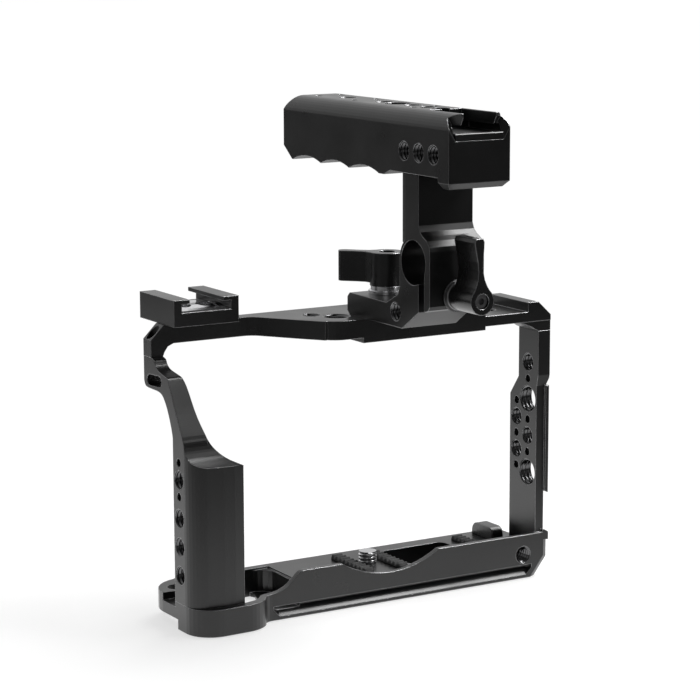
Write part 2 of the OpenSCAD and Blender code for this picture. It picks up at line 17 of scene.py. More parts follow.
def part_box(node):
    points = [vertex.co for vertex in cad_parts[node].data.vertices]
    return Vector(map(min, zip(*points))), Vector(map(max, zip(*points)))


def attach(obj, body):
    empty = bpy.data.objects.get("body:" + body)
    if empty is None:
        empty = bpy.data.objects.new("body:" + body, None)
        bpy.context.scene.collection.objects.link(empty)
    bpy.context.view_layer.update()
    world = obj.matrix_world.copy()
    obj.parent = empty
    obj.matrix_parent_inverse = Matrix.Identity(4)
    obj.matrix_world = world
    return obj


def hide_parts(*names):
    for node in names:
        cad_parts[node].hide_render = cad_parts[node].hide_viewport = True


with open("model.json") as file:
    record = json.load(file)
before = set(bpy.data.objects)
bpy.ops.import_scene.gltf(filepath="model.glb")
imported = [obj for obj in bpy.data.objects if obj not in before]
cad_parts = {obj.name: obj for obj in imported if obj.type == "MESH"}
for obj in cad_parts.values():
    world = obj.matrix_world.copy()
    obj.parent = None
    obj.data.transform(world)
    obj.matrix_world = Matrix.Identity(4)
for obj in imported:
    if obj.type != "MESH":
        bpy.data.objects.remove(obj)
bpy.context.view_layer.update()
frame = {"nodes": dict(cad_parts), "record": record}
nodes = frame["nodes"]

# %% [markdown]
# ## A helper for grid surfaces
# Each new piece is a grid of points worked out with numpy: row i runs along the piece and column j
# runs round it, as on a tube. The points could be placed one by one in a loop, but a whole array
# keeps each formula in one line. One helper turns such a grid into a mesh, gives it a finish and
# lets it ride on its body, so that each piece only has to say its own formula.

# %% Grid helper
MM = 0.001
MERGE = 1e-7  # points closer than this, in metres, become one


def corners(node):
    """Lowest and highest corner of a CAD node at rest, in mm."""
    return [np.array(corner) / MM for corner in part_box(node)]


def surface(name, points, body, finish, close=True, smooth=True):
    """Mesh of a grid points[i, j] in mm whose last column joins its first. close joins the last
    row to the first as well, as on a ring. Without it, each end row is one point repeated, a pole.
    Faces are turned so that the signed volume, the sum of (a x b) . c over all triangles a, b, c,
    is positive, which points them outwards. Points that coincide are merged, which closes the
    poles."""
    n_rows, n_cols = points.shape[:2]
    i = np.arange(n_rows if close else n_rows - 1)[:, None]
    j = np.arange(n_cols)[None, :]
    i2, j2 = (i + 1) % n_rows, (j + 1) % n_cols
    quads = np.stack(np.broadcast_arrays(i * n_cols + j, i * n_cols + j2, i2 * n_cols + j2,
                                         i2 * n_cols + j), -1).reshape(-1, 4)
    flat = points.reshape(-1, 3)
    a, b, c, d = ((flat - flat.mean(0))[quads[:, k]] for k in range(4))
    volume = (np.cross(a, b) * c).sum() + (np.cross(a, c) * d).sum()
    if volume < 0:
        quads = quads[:, ::-1]
    mesh = bpy.data.meshes.new(name)
    mesh.from_pydata((flat * MM).tolist(), [], quads.tolist())
    shell = bmesh.new()
    shell.from_mesh(mesh)
    bmesh.ops.remove_doubles(shell, verts=shell.verts, dist=MERGE)
    shell.to_mesh(mesh)
    shell.free()
    mesh.polygons.foreach_set("use_smooth", np.full(len(mesh.polygons), smooth))
    mesh.materials.append(finish)
    mesh.update()
    piece = bpy.data.objects.new(name, mesh)
    bpy.context.scene.collection.objects.link(piece)
    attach(piece, body)
    return piece


print("grid helper: points in mm, merged within", MERGE, "m")

# %% [markdown]
# Threads, ridges and rings go round an axis. They could be made round Z and turned afterwards, but
# a helper that takes any axis lets a thread across the cage read like one that stands upright.

# %% Helper for round shapes
def round_axis(radius, along, turn, centre, axis):
    """Points at a radius and a distance along an axis, turned round it: centre + along * axis
    + radius * (cos turn, sin turn) in the plane across the axis."""
    w = np.array(axis, float)
    u = np.array([0.0, 0.0, 1.0]) if abs(w[2]) < 0.5 else np.array([1.0, 0.0, 0.0])
    v = np.cross(w, u)
    radius, along, turn = np.broadcast_arrays(radius, along, turn)
    return (np.array(centre, float) + along[..., None] * w
            + (radius * np.cos(turn))[..., None] * u + (radius * np.sin(turn))[..., None] * v)


def full_turn(steps):
    """Angles of a number of equal steps round a circle, as one row."""
    return np.linspace(0, 2 * np.pi, steps, endpoint=False)[None, :]


print("a circle in 4 steps:", np.degrees(full_turn(4)), "degrees")

# %% [markdown]
# ## Helpers for finishes
# A finish is a small network of nodes that feeds one shader. It could be drawn in the shader
# editor. In a script it reads best as calls, so a few short helpers stand for the steps that the
# finishes share. The first ones add a node, and make a noise and a blend of two colours. All
# patterns read Object coordinates, so they stay on their piece when a joint moves it.

# %% Node helpers
NOISE_LOW, NOISE_HIGH = 0.3, 0.7  # most of a noise lies between these
COOL = 1.02                       # blue of a grey against its red and green


def add_node(nt, kind, inputs, **settings):
    """A node with its settings. An input is linked if it is given a socket, else it is set."""
    made = nt.nodes.new("ShaderNode" + kind)
    for key, value in settings.items():
        setattr(made, key, value)
    for key, value in inputs.items():
        if isinstance(value, bpy.types.NodeSocket):
            nt.links.new(value, made.inputs[key])
        else:
            made.inputs[key].default_value = value
    return made


def grey(level):
    """Colour of a grey level, with a trace of blue."""
    return (level, level, level * COOL, 1.0)


def noise(nt, where, scale, detail):
    """Noise of a scale in cells per metre, read at the given coordinates."""
    node = add_node(nt, "TexNoise", {"Vector": where, "Scale": scale, "Detail": detail})
    return node.outputs["Fac"]


def blend(nt, cloud, a, b):
    """Colour a where a noise is low and b where it is high."""
    node = add_node(nt, "ValToRGB", {0: cloud})
    for stop, position, colour in zip(node.color_ramp.elements, (NOISE_LOW, NOISE_HIGH), (a, b)):
        stop.position, stop.color = position, colour
    return node.outputs[0]


print("noise is read from", NOISE_LOW, "to", NOISE_HIGH)

# %% [markdown]
# The others change a range, add a bump and start a finish. Fine grain could be modelled, but it
# would take millions of faces, so a bump only tilts the normal.

# %% Range, bump and shader helpers
def spread(nt, value, low, high, to_low, to_high):
    """value from low..high mapped onto to_low..to_high."""
    return add_node(nt, "MapRange", {"Value": value, "From Min": low, "From Max": high,
                                     "To Min": to_low, "To Max": to_high}).outputs[0]


def bumped(nt, shader, height, strength, depth, normal=None):
    """Tilts a shader's normal, by a share called strength, as if height stood up by a depth in
    metres. normal is the normal to start from, where it isn't the surface's own."""
    inputs = {"Height": height, "Strength": strength, "Distance": depth}
    if normal is not None:
        inputs["Normal"] = normal
    nt.links.new(add_node(nt, "Bump", inputs).outputs[0], shader.inputs["Normal"])


def new_finish(name):
    """A node material with a linked shader, and the Object coordinate to read."""
    mat = bpy.data.materials.new(name)
    mat.use_nodes = True
    nt = mat.node_tree
    nt.nodes.clear()
    shader = add_node(nt, "BsdfPrincipled", {})
    add_node(nt, "OutputMaterial", {0: shader.outputs[0]})
    return mat, nt, shader, add_node(nt, "TexCoord", {}).outputs["Object"]


print("range, bump and shader helpers ready")

# %% [markdown]
# ## Black anodised aluminium
# The real finish is bead blasted, dyed black and sealed. It looks almost black face on and pale
# where light grazes it, and its edges are worn down to bright metal. A drawn mask could mark the
# edges, but a Bevel node finds them on any solid. A fine noise gives the blasted grain as a bump,
# and a slower one moves the colour and the roughness.

# %% Anodised finishes
BEVEL_SAMPLES = 6
FLAT_COS, EDGE_COS = 0.98, 0.80  # cosines at which wear starts and is full
EDGE_SHADE, EDGE_METAL = 0.42, 0.9
SEALED_IOR = 1.55
CLOUD, GRAIN = 45.0, 2600.0      # cells per metre
TINT_LOW, TINT_HIGH = 0.8, 1.25  # times the shade, where the slow noise is low and high
GLOSS_LOW, GLOSS_HIGH = -0.04, 0.05   # added to the roughness there


def edge_of(nt, radius):
    """Wear, and the normal of an edge rounded to a radius. Wear follows the dot product of the
    rounded and the true normal, which is 1 on a flat and less the nearer the edge: wear is 0 at
    FLAT_COS and 1 at EDGE_COS."""
    rounded = add_node(nt, "Bevel", {"Radius": radius}, samples=BEVEL_SAMPLES).outputs[0]
    true = add_node(nt, "NewGeometry", {}).outputs["Normal"]
    same = add_node(nt, "VectorMath", {0: rounded, 1: true}, operation="DOT_PRODUCT")
    return spread(nt, same.outputs["Value"], FLAT_COS, EDGE_COS, 0.0, 1.0), rounded


def anodised(name, shade, gloss, edge):
    """Bead blasted black of a base shade and a mean roughness, worn over an edge radius in metres:
    colour = flat + wear * (edge shade - flat), and metallic = wear * EDGE_METAL."""
    mat, nt, shader, where = new_finish(name)
    worn, rounded = edge_of(nt, edge)
    cloud = noise(nt, where, CLOUD, detail=4.0)
    flat = blend(nt, cloud, grey(shade * TINT_LOW), grey(shade * TINT_HIGH))
    colour = add_node(nt, "Mix", {"Factor": worn, "A": flat, "B": grey(EDGE_SHADE)},
                      data_type="RGBA")
    nt.links.new(colour.outputs["Result"], shader.inputs["Base Color"])
    nt.links.new(spread(nt, worn, 0.0, 1.0, 0.0, EDGE_METAL), shader.inputs["Metallic"])
    nt.links.new(spread(nt, cloud, NOISE_LOW, NOISE_HIGH, gloss + GLOSS_LOW, gloss + GLOSS_HIGH),
                 shader.inputs["Roughness"])
    shader.inputs["IOR"].default_value = SEALED_IOR
    bumped(nt, shader, noise(nt, where, GRAIN, detail=2.0), strength=0.12, depth=0.00006,
           normal=rounded)
    return mat


black = anodised("black_anodised", 0.008, 0.30, edge=0.0004)
black_lever = anodised("black_anodised_lever", 0.011, 0.28, edge=0.0006)
black_flat = anodised("black_anodised_flat", 0.008, 0.30, edge=0.00005)
print("finishes:", [m.name for m in (black, black_lever, black_flat)])

# %% [markdown]
# ## Turned steel, polished chrome and ribbed rubber
# Turned steel keeps fine rings from the lathe. A wave texture would make them too even, so they are
# a noise stretched until it changes along Z and hardly across it. Chrome has the same rings, wider
# apart, on a near mirror. A tapped thread is dark metal, burnished by the screws that go into it.
# Rubber is rough and slightly uneven.

# %% Metal and rubber finishes
RING_STRETCH = (0.01, 0.01, 2.0)
RING_DARK, RING_LIGHT = 0.86, 1.05             # times the shade
RUBBER_DARK, RUBBER_LIGHT = 0.020, 0.034
RUBBER_CLOUD, RUBBER_GRAIN = 300.0, 3200.0     # cells per metre
RUBBER_SMOOTH, RUBBER_ROUGH = 0.62, 0.8


def bright_metal(name, shade, gloss, streak, lift=0.05):
    """Metal of a shade with rings: a noise of streak cells per metre, read at coordinates times
    RING_STRETCH. The roughness goes from gloss to gloss + lift."""
    mat, nt, shader, where = new_finish(name)
    stretched = add_node(nt, "Mapping", {"Vector": where, "Scale": RING_STRETCH}).outputs[0]
    rings = noise(nt, stretched, streak, detail=3.0)
    nt.links.new(blend(nt, rings, grey(shade * RING_DARK), grey(shade * RING_LIGHT)),
                 shader.inputs["Base Color"])
    nt.links.new(spread(nt, rings, NOISE_LOW, NOISE_HIGH, gloss, gloss + lift),
                 shader.inputs["Roughness"])
    shader.inputs["Metallic"].default_value = 1.0
    bumped(nt, shader, rings, strength=0.12, depth=0.00003)
    return mat


def rubbery(name):
    """Matt black rubber with a fine moulded grain."""
    mat, nt, shader, where = new_finish(name)
    cloud = noise(nt, where, RUBBER_CLOUD, detail=3.0)
    nt.links.new(blend(nt, cloud, grey(RUBBER_DARK), grey(RUBBER_LIGHT)),
                 shader.inputs["Base Color"])
    nt.links.new(spread(nt, cloud, NOISE_LOW, NOISE_HIGH, RUBBER_SMOOTH, RUBBER_ROUGH),
                 shader.inputs["Roughness"])
    bumped(nt, shader, noise(nt, where, RUBBER_GRAIN, detail=2.0), strength=0.3, depth=0.0001)
    return mat


steel = bright_metal("turned_steel", 0.80, 0.20, 900.0)
chrome = bright_metal("polished_chrome", 0.62, 0.06, 300.0, 0.03)
dark_steel = bright_metal("black_oxide_steel", 0.26, 0.34, 700.0)
burnished = bright_metal("burnished_thread", 0.13, 0.10, 1200.0, 0.03)
rubber = rubbery("ribbed_rubber")
print("finishes:", [m.name for m in (steel, chrome, dark_steel, burnished, rubber)])

# %% [markdown]
# ## Dressing the solids
# Each CAD node names the slot that its finish comes from. A finish could be picked for one node
# after another, but a table from slots to finishes leaves no node out. The two levers are handled
# most, so they take a slightly lighter, glossier black whose worn edges are wider.

# %% Dress the CAD nodes
finish_of_slot = {"anodised": black, "rubber": rubber, "chrome": chrome, "steel": steel,
                  "dark_steel": dark_steel}
subparts = frame["record"]["subparts"]
for part in subparts:
    is_lever = part["node"].endswith("_lever")
    cad = nodes[part["node"]]
    cad.data.materials.clear()
    cad.data.materials.append(black_lever if is_lever else finish_of_slot[part["material_slot"]])
print("dressed", len(subparts), "nodes")

# %% [markdown]
# ## Screw threads in the holes
# The cage is full of tapped holes, and their turns catch the light as bright rings. A bump map
# would look flat from the side, and a cut into the solid would change the CAD. So each hole gets a
# thin sleeve: its outside lies just inside the bore's wall, and its inside is a ridge whose height
# depends on how far along and how far round the hole a point is, which makes one continuous helix.

# %% Thread helper
QUARTER, THREE_EIGHTHS = 3.175, 4.7625           # bore radii of the two camera threads, in mm
PITCH = {QUARTER: 1.27, THREE_EIGHTHS: 1.5875}   # 20 and 16 turns to the inch
SLEEVE_STEPS, STEPS_PER_TURN = 36, 7             # grid round a hole, and along one pitch
LEAST_STEPS = 8                                  # along the shortest hole
RIDGE_DEPTH = 0.54                               # height of a full ridge, in pitches
STEEP, CUT = 1.25, 0.12                          # slope of the ridge's flanks, and its flat root
ROOT_GAP, WALL_GAP = 0.03, 0.01                  # mm from the bore to the root and the outside
MOUTH, SETBACK, FADE = 0.25, 0.15, 0.8           # mm left free at each end, and ridge fading in


def thread(name, start, axis, radius, length):
    """Sleeve with a helical ridge inside. The phase is along / pitch - turn / full turn, and wave
    is STEEP times a triangle of it, less CUT, kept from 0 to 1. The inner radius is radius
    - ROOT_GAP - RIDGE_DEPTH * pitch * wave, and the wave fades out over FADE mm at both ends."""
    pitch = PITCH[radius]
    turn = full_turn(SLEEVE_STEPS)
    n = max(LEAST_STEPS, int(round(length / pitch * STEPS_PER_TURN)))
    along = np.linspace(MOUTH, length - SETBACK, n)[:, None]
    phase = (along / pitch - turn / (2 * np.pi)) % 1.0
    wave = np.clip(STEEP * (1 - np.abs(2 * phase - 1)) - CUT, 0, 1)
    fade = np.clip(np.minimum(along, length - along) / FADE, 0, 1)
    inner = radius - ROOT_GAP - RIDGE_DEPTH * pitch * wave * fade
    outer = np.full((2, SLEEVE_STEPS), radius - WALL_GAP)
    ends = np.repeat(along[[-1, 0]], SLEEVE_STEPS, 1)
    places = np.concatenate([np.repeat(along, SLEEVE_STEPS, 1), ends])
    points = round_axis(np.concatenate([inner, outer]), places, turn, start, axis)
    return surface(name, points, "cage", burnished)


print("pitch for each bore radius, in mm:", PITCH)

# %% [markdown]
# Some of the holes are interfaces. Their places could be typed in again, but the record has the
# middle, axis, radius and length of each, so their threads need no numbers of their own.

# %% Threads of the interfaces
mounts = frame["record"]["mounts"]
middle_of = {mount["name"]: np.array(mount["pos_m"]) / MM for mount in mounts}
tapped = [mount for mount in mounts if mount["kind"] == "threaded_hole"]
for mount in tapped:
    length, axis = mount["dims"]["length_mm"], np.array(mount["axis"], float)
    thread("thread_" + mount["name"], middle_of[mount["name"]] - axis * length / 2, axis,
           mount["dims"]["r_mm"], length)
print("tapped interfaces:", len(tapped))

# %% [markdown]
# The other holes are tapped too. Most stand in a row with an interface, so they are placed at
# steps from it, and most start or end at a face of the node that carries them. Both are read from
# the frame, where a list of every centre would say nothing about the rows. The last four are
# single holes, with places of their own.

# %% Depths and faces of the other holes
RIGHT, UP, REAR = (1, 0, 0), (0, 0, 1), (0, 1, 0)   # where a hole runs on to from its start
WEB, GRIP_WALL, GRIP_HIGH_WALL, BAR_WALL = 5.1, 10.8, 8.0, 5.8   # depths of the holes, in mm
BAR_TOP, PLATE, PLATE_LEFT, PLATE_RIGHT, BASE = 9.0, 8.3, 6.5, 3.6, 7.0

base_low, base_high = corners("base_frame")
bar_low, bar_high = corners("handle_bar")
bar_x = (bar_low[0] + bar_high[0]) / 2
grip_x = corners("grip_upright")[0][0]
plate_top = corners("top_plate")[1][2]
web_x = base_high[0] - WEB
print("top of the plate at Z", plate_top.round(2), "and of the handle at Z", bar_high[2].round(2))

# %% [markdown]
# Each row then gives an axis, a radius, a depth and the starts of its holes. A thread could have a
# name that says where it is, but nothing refers to one, so they are numbered down the list.

# %% Rows of tapped holes
_, web_y, web_z = middle_of["side_quarter"]
_, grip_y, grip_z = middle_of["grip_quarter"]
_, side_y, side_z = middle_of["handle_side_quarter"]
_, bar_y, _ = middle_of["handle_top_three_eighths"]
plate_x, plate_y, _ = middle_of["top_three_eighths"]
_, base_y, _ = middle_of["tripod_quarter"]

WEB_STEP, WEB_COLUMN = 6.0, 6.9                     # steps up the upright, and across it
GRIP_STEP, GRIP_HIGH = 9.8, 23.0                    # from the grip's interface, along Z
SIDE_STEP, BAR_STEP, BAR_REAR = 8.8, 9.0, 33.0      # from the handle's interfaces, along Y
PLATE_STEPS = ((0, -11), (12, -11), (12, 0))        # from the plate's large interface
RIGHT_END_DROP = 7.0                                # the plate's right end has a lower floor
rows = [
    # upright: two small holes beside the row, then a large and a small one in it
    (RIGHT, QUARTER, WEB, [(web_x, web_y + WEB_COLUMN, web_z + k * WEB_STEP) for k in (1, -1)]),
    (RIGHT, THREE_EIGHTHS, WEB, [(web_x, web_y, web_z - 2.25 * WEB_STEP)]),
    (RIGHT, QUARTER, WEB, [(web_x, web_y, web_z + 4.5 * WEB_STEP)]),
    # grip: a shallower one high up, and one above and one below the interface
    (RIGHT, QUARTER, GRIP_HIGH_WALL, [(grip_x, grip_y, grip_z + GRIP_HIGH)]),
    (RIGHT, QUARTER, GRIP_WALL, [(grip_x, grip_y, grip_z + k * GRIP_STEP) for k in (1, -1)]),
    # handle: left side beside the interface, the whole right side, and the top
    (RIGHT, QUARTER, BAR_WALL, [(bar_low[0], side_y + k * SIDE_STEP, side_z) for k in (-1, 1)]),
    (RIGHT, QUARTER, BAR_WALL, [(bar_high[0] - BAR_WALL, side_y + k * SIDE_STEP, side_z)
                                for k in (-1, 0, 1)]),
    (UP, QUARTER, BAR_TOP, [(bar_x, bar_y + dy, bar_high[2] - BAR_TOP)
                            for dy in (-BAR_STEP, BAR_STEP, BAR_REAR)]),
    # top plate: three round the large interface, then one in its left part and one at its right end
    (UP, QUARTER, PLATE, [(plate_x + dx, plate_y + dy, plate_top - PLATE)
                          for dx, dy in PLATE_STEPS]),
    (UP, THREE_EIGHTHS, PLATE_LEFT, [(-9.4, 10.6, plate_top - PLATE_LEFT)]),
    (UP, QUARTER, PLATE_RIGHT, [(54, 12, plate_top - RIGHT_END_DROP)]),
    # base: one in the floor, and one in the front face
    (UP, QUARTER, BASE, [(52, base_y, base_low[2])]),
    (REAR, QUARTER, BASE, [(62.3, 0, 8.7)]),
]
holes = [(start, axis, radius, depth) for axis, radius, depth, starts in rows for start in starts]
for k, hole in enumerate(holes):
    thread("thread_%02d" % k, *hole)
print("other tapped holes:", len(holes))

# %% [markdown]
# ## The camera screw's thread
# The screw that holds the camera is the brightest piece in the cage, and its thread stands out from
# the shank. A Screw modifier could wind it, but would leave two open ends. Here a small triangle is
# carried up a helix and its height fades out at both ends, so the ridge closes by itself.

# %% Helical ridge
RIDGE_STEPS = 36                        # places per turn
RIDGE_RISE, RIDGE_TIP = 3, 0.02         # growth of the height per turn, and its least share
SHAPE = np.array([[-0.25, 0.35, 1.0, 0.35, -0.25]])    # height of the triangle's five points
REACH = np.array([[-0.5, -0.32, 0.0, 0.32, 0.5]])      # their distance along the axis


def helical_ridge(name, body, centre, axis, radius, height, pitch, turns, width, finish):
    """A triangle of a height and width carried along a helix. At parameter t the turn is 2 pi t
    and the distance along the axis is pitch * t. The height fades to a fiftieth over the first and
    the last third of a turn, and each end is drawn in to one point."""
    t = np.linspace(0, turns, int(turns * RIDGE_STEPS) + 1)[:, None]
    fade = np.clip(np.minimum(t, turns - t) * RIDGE_RISE, RIDGE_TIP, 1)
    points = round_axis(radius + SHAPE * height * fade, pitch * t + REACH * width, 2 * np.pi * t,
                        centre, axis)
    first, last = (np.repeat(end.mean(1, keepdims=True), SHAPE.size, 1)
                   for end in (points[:1], points[-1:]))
    return surface(name, np.concatenate([first, points, last]), body, finish,
                   close=False)


SCREW_TURNS = 3.1
BELOW_INTERFACE = 2.5                   # mm from the interface's point down to the first turn
thread_foot = middle_of["camera_thread"] - BELOW_INTERFACE * np.array(UP)
helical_ridge("camera_screw_thread", "camera_screw", thread_foot, UP, radius=3.02, height=0.3,
              pitch=PITCH[QUARTER], turns=SCREW_TURNS, width=1.0, finish=chrome)
print("camera screw thread:", SCREW_TURNS, "turns from", thread_foot.round(3))

# %% [markdown]
# ## Ribbed pads
# The rubber pads are moulded with ribs across them, and their ends are rounded both in plan and
# towards the top. Each rib could be a solid of its own, but the moulding is one skin, and a height
# over a grid gives all of it in one formula: the ribs are a wave along the pad, and everything
# falls away near the edge of a rectangle whose ends narrow.

# %% Pads
PAD_COLS, COLS_PER_RIB = 13, 10
NARROWING, NARROW_FROM = 0.42, 0.86     # share of the width lost at the ends, and where it starts
SHOULDER_Z, VALLEY, RIB = 0.70, 0.15, 0.93   # rim height, and what valleys and ribs add, in mm
EDGE_RATE = 7                           # how fast the top rounds off towards the rim
UNDERSIDE, FOOT = 0.02, 0.3             # mm from the node's base to the skin, and its lowest band


def ribbed_pad(name, node, ribs):
    """Closed skin over a grid of u across and v along the pad, both from -1 to 1. The width
    shrinks by NARROWING * ((|v| - NARROW_FROM) / (1 - NARROW_FROM))^2 at the ends. The height is
    SHOULDER_Z + (VALLEY + RIB * (1 - |cos(pi ribs (v + 1) / 2)|^3)) * edge, no higher than the
    node, where edge = sqrt(EDGE_RATE * (1 - max(|u|, |v|^3))), at most 1. The skin goes down a wall
    to the underside and across it, and each end row is drawn in to one point."""
    low, high = corners(node)
    v = np.linspace(-1, 1, ribs * COLS_PER_RIB + 1)[:, None]
    u = np.linspace(-1, 1, PAD_COLS)[None, :]
    narrow = 1 - NARROWING * np.clip((np.abs(v) - NARROW_FROM) / (1 - NARROW_FROM), 0, 1) ** 2
    middle, half = (low + high) / 2, (high - low) / 2
    x = middle[0] + half[0] * u * narrow
    y = middle[1] + half[1] * v + 0 * u
    wave = np.abs(np.cos(np.pi * ribs * (v + 1) / 2)) ** 3
    edge = np.clip((1 - np.maximum(np.abs(u), np.abs(v) ** 3)) * EDGE_RATE, 0, 1) ** 0.5
    z = low[2] + SHOULDER_Z + (VALLEY + RIB * (1 - wave)) * edge
    top = np.stack([x, y, np.minimum(z, high[2])], -1)
    under = top.copy()
    under[..., 2] = low[2] + UNDERSIDE
    foot = [0, 0, FOOT]
    loop = np.concatenate([under[:, :1], under[:, :1] + foot, top, under[:, -1:] + foot,
                           under[:, -1:]], 1)
    first, last = (np.repeat(end.mean(1, keepdims=True), loop.shape[1], 1)
                   for end in (loop[:1], loop[-1:]))
    piece = surface(name, np.concatenate([first, loop, last]), "cage", rubber,
                    close=False)
    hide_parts(node)
    return piece


pads = [ribbed_pad("ribbed_pad_" + side, "pad_" + side, ribs)
        for side, ribs in (("left", 9), ("middle", 9), ("right", 6))]
print("pads:", [pad.name for pad in pads])

# %% [markdown]
# ## Stop block
# The little block that keeps the camera from turning is a bar with both ends milled round. A box
# with a Bevel modifier would round every edge alike, so the block is one outline of arcs, carried
# along X from one side to the other. The same helper makes the wedge after it.

# %% Stop block with round ends
def arc(cy, cz, r, start, end, n=9):
    """Points (y, z) of an arc: cy + r cos a, cz + r sin a, for a from start to end degrees."""
    a = np.radians(np.linspace(start, end, n))
    return np.stack([cy + r * np.cos(a), cz + r * np.sin(a)], 1)


def bar_along_x(name, outline, stations, finish):
    """Closed bar: an outline of (y, z) points carried along X. At each station (x, grow) the
    outline is scaled by grow about its middle, and a grow of 0 closes an end."""
    middle = outline.mean(0)
    rings = [np.column_stack([np.full(len(outline), x), middle + (outline - middle) * grow])
             for x, grow in stations]
    return surface(name, np.array(rings), "cage", finish, close=False, smooth=False)


REAR_R, FRONT_R = 3.4, 2.9      # radii of the block's two round ends
BREAK, SHRUNK = 0.3, 0.94       # broken edge of its sides: its depth, and the outline left there
low, high = corners("twist_block")
left, right = low[0], high[0]
(y0, z0), (y1, z1) = low[1:], high[1:]
outline = np.concatenate([[[y0, z0], [(y0 + y1) / 2, z0], [y1, z0]],
                          arc(y1 - REAR_R, z1 - REAR_R, REAR_R, 0, 90),
                          arc(y0 + FRONT_R, z1 - FRONT_R, FRONT_R, 90, 180)])
block = bar_along_x("stop_block", outline, [(left, 0.0), (left, SHRUNK), (left + BREAK, 1.0),
                                            (right - BREAK, 1.0), (right, SHRUNK), (right, 0.0)],
                    black)
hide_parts("twist_block")
print("stop block outline points:", len(outline))

# %% [markdown]
# ## Front edge of the handle's shoe
# In the photograph the front face of the handle runs straight up to the floor of the shoe, where a
# thin bright line marks its edge. The CAD has a lead-in there, which a plain wedge fills across
# almost its whole width. A change to the CAD would do it too, but this is thin trim. The wedge
# takes the black that hardly wears, so its outline doesn't show, and its broken upper edge leans
# half up, where it mirrors the soft box.

# %% Wedge at the shoe's mouth
WEDGE_HALF, WEDGE_RISE = 9.2, 2.4
SHOE_DEPTH = 6.4
GAP, TIP, ROUND = 0.02, 0.05, 0.25      # clear of the faces, blunt tips, and the broken edge
floor_z, face_y = bar_high[2] - SHOE_DEPTH, bar_low[1]
profile = np.array([[face_y + GAP, floor_z - WEDGE_RISE + TIP], [face_y + GAP, floor_z - ROUND],
                    [face_y + ROUND, floor_z - GAP], [face_y + WEDGE_RISE - TIP, floor_z - GAP]])
left, right = bar_x - WEDGE_HALF, bar_x + WEDGE_HALF
bar_along_x("shoe_mouth_wedge", profile, [(left, 0.0), (left, 1.0), (right, 1.0), (right, 0.0)],
            black_flat)
print("wedge", 2 * WEDGE_HALF, "mm wide")

# %% [markdown]
# ## Flare under the clamp lever
# Where the hub of the clamp lever meets the jaw it flares out in a small fillet, whose worn edge
# shows as a bright crescent. It is a ring, so it is a profile turned round the stud's axis. A torus
# would be round all over, where this one is flat below.

# %% Turned rings
FLARE_STEPS = 64
FOOT_R, TOP_R = 5.5, 4.5        # radius of the flare at its foot and at its top
RIM, FLARE_HEIGHT = 0.35, 1.6   # straight foot, and the height of the whole flare
OFF_FACE, INSET = 0.03, 0.05    # mm from the hub's end to the foot, and from TOP_R inwards


def turned(name, body, centre, axis, profile, finish):
    """Ring of revolution: each (radius, along) of a closed profile is turned round the axis."""
    profile = np.array(profile, float)
    points = round_axis(profile[:, :1], profile[:, 1:], full_turn(FLARE_STEPS), centre, axis)
    return surface(name, points, body, finish)


stud_low, stud_high = corners("rod_stud")
hub_x, _, hub_z = (stud_low + stud_high) / 2
hub_face = corners("rod_lever")[1][1]
inner_r = TOP_R - INSET
quarter_turn = np.radians(np.linspace(0, 90, 8))
fillet = np.stack([FOOT_R - (FOOT_R - TOP_R) * np.sin(quarter_turn),
                   RIM + (FLARE_HEIGHT - RIM) * (1 - np.cos(quarter_turn))], 1)
turned("rod_lever_flare", "rod_lever", (hub_x, hub_face, hub_z), (0, -1, 0),
       [(inner_r, OFF_FACE), (FOOT_R, OFF_FACE), *fillet, (inner_r, FLARE_HEIGHT)],
       black_lever)
print("lever flare at", round(hub_x, 2), round(hub_z, 2))

# %% [markdown]
# ## Floor and background
# The part stands on a white table in a white studio. A camera ray sees white: the floor's own white
# rises to full with distance, and what is missing near the part comes from lamp light on a matt
# surface, so the part's shadow stays. That matt colour is a painted pool of light, pale under the
# part and nearly black further out, and the own white rises where it fades. Every face would
# mirror a plain white floor as white. In the photograph the table is a pool of light that falls
# off further out, and the black faces mirror that: low faces are paler than high ones. So glossy
# and transmission rays see a painted pool of light, a glow of the table that only they see.

# %% Floor
FLOOR_REACH, FLOOR_DROP = 6.0, 0.0004   # half width, and how far it lies under the part, in metres
square = [(-1, -1), (1, -1), (1, 1), (-1, 1)]
floor_mesh = bpy.data.meshes.new("floor")
floor_mesh.from_pydata([(FLOOR_REACH * x, FLOOR_REACH * y, 0) for x, y in square], [],
                       [(0, 1, 2, 3)])
floor = bpy.data.objects.new("floor", floor_mesh)
bpy.context.scene.collection.objects.link(floor)
floor.location.z = -FLOOR_DROP
print("floor", 2 * FLOOR_REACH, "m wide")

# %% [markdown]
# The table's material adds three lights: what the lamps put on a matt colour painted as a pool of
# light, its own white for the camera, and a painted pool of light that glows only for glossy and
# transmission rays. Both distances are read from a point on the table.

# %% Levels of the table
# painted pool of light in the matt colour: pale under the part and nearly black away from it
PAINTED_POOL_MATT_NEAR, PAINTED_POOL_MATT_FAR = 0.42, 0.02     # matt colour under the part, and away from it
OWN_NEAR, OWN_FAR = 0.64, 1.0      # its own white at the same places
NEAR, FAR = 0.08, 0.30             # metres from the middle, between which both change
# the painted pool of light, a glow that only glossy and transmission rays see
PAINTED_POOL_MIDDLE = (-0.10, 0.22, 0)     # behind the part and to its left
PAINTED_POOL = [(0.0, 1.0), (0.18, 1.0), (0.25, 0.75), (0.31, 0.62), (0.38, 0.40), (0.48, 0.18),
        (0.70, 0.12), (1.0, 0.05)]   # metres from that middle, and how bright the table is there
print("pool stops:", len(PAINTED_POOL))

# %% [markdown]
# The three are added as shaders, and each one's level is zero for the rays that it isn't meant for.
# A chain of Mix Shaders could switch between the rays, but a sum is easier to read.

# %% White table
def distance_from(nt, where, point):
    """Distance from a point, in metres."""
    return add_node(nt, "VectorMath", {0: where, 1: point}, operation="DISTANCE").outputs["Value"]


